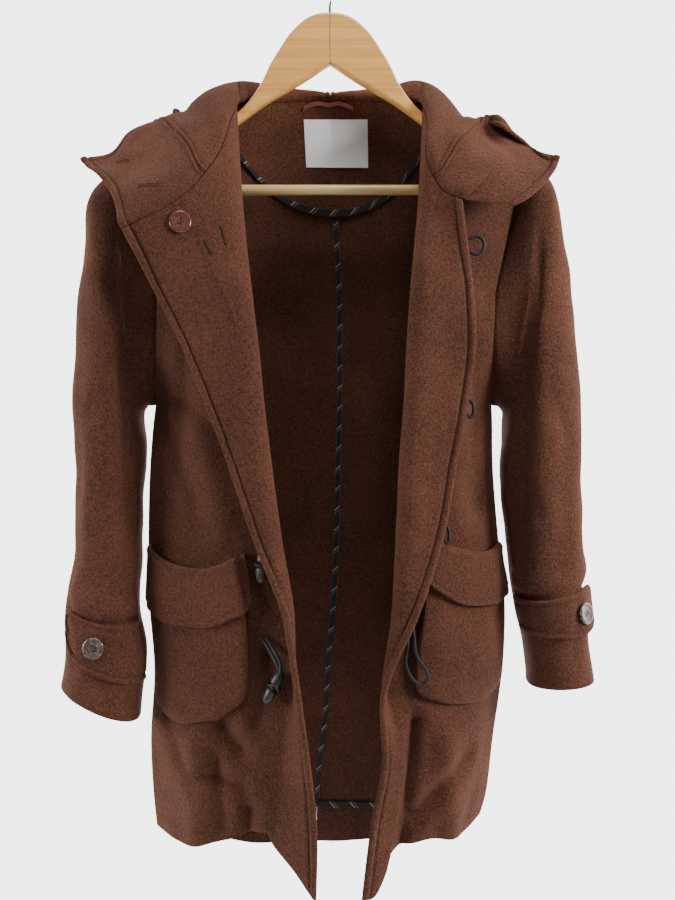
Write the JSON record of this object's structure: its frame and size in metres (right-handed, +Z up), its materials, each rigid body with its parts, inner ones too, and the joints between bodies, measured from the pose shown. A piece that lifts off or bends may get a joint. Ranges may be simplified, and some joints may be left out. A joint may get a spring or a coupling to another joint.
{
  "type": "duffle coat on a wooden clothes hanger",
  "caption": "Thigh-length unlined wool duffle coat with a hood, toggles and patch pockets, hanging open on a wooden hanger with a trouser bar and a wire hook.",
  "frame": {"origin": "inside top of the hook's arch, where a rail holds the hanger", "axes": "+Z up, the coat's front faces -Y, the wearer's left is +X"},
  "size_m": [0.6193, 0.2201, 1.0733],
  "materials": {
    "wool": "heavy felted wool, matt",
    "binding": "woven bias binding with fine pale stripes",
    "leather": "round leather thong, satin",
    "horn": "dark polished horn",
    "button_horn": "polished horn, mottled",
    "label_satin": "blank woven satin",
    "ribbon": "satin ribbon",
    "beech": "clear varnish, satin",
    "pale_wood": "plain turned dowel",
    "steel": "bright drawn wire"
  },
  "bodies": {
    "root": {"front_right": "wool", "front_left": "wool", "back_right": "wool", "back_left": "wool", "back_yoke": "wool", "back_neck_facing": "wool", "front_facing_right": "wool", "front_facing_left": "wool", "sleeve_right": "wool", "sleeve_left": "wool", "cuff_tab_right": "wool", "cuff_tab_left": "wool", "hood_right": "wool", "hood_left": "wool", "hood_end_right": "wool", "hood_end_left": "wool", "pocket_right": "wool", "pocket_left": "wool", "pocket_flap_right": "wool", "pocket_flap_left": "wool", "facing_binding_right": "binding", "facing_binding_left": "binding", "neck_facing_binding": "binding", "center_back_binding": "binding", "back_hem_binding": "binding", "cuff_button_right": "button_horn", "cuff_button_left": "button_horn", "neck_button": "button_horn", "label": "label_satin", "hanging_loop": "ribbon", "loop_1": "leather", "loop_2": "leather", "loop_3": "leather", "loop_4": "leather", "toggle_1": "horn", "toggle_cord_1": "leather", "toggle_2": "horn", "toggle_cord_2": "leather", "toggle_3": "horn", "toggle_cord_3": "leather", "toggle_4": "horn", "toggle_cord_4": "leather", "hanger_body": "beech", "trouser_bar": "pale_wood", "hook": "steel"}
  },
  "joints": []
}
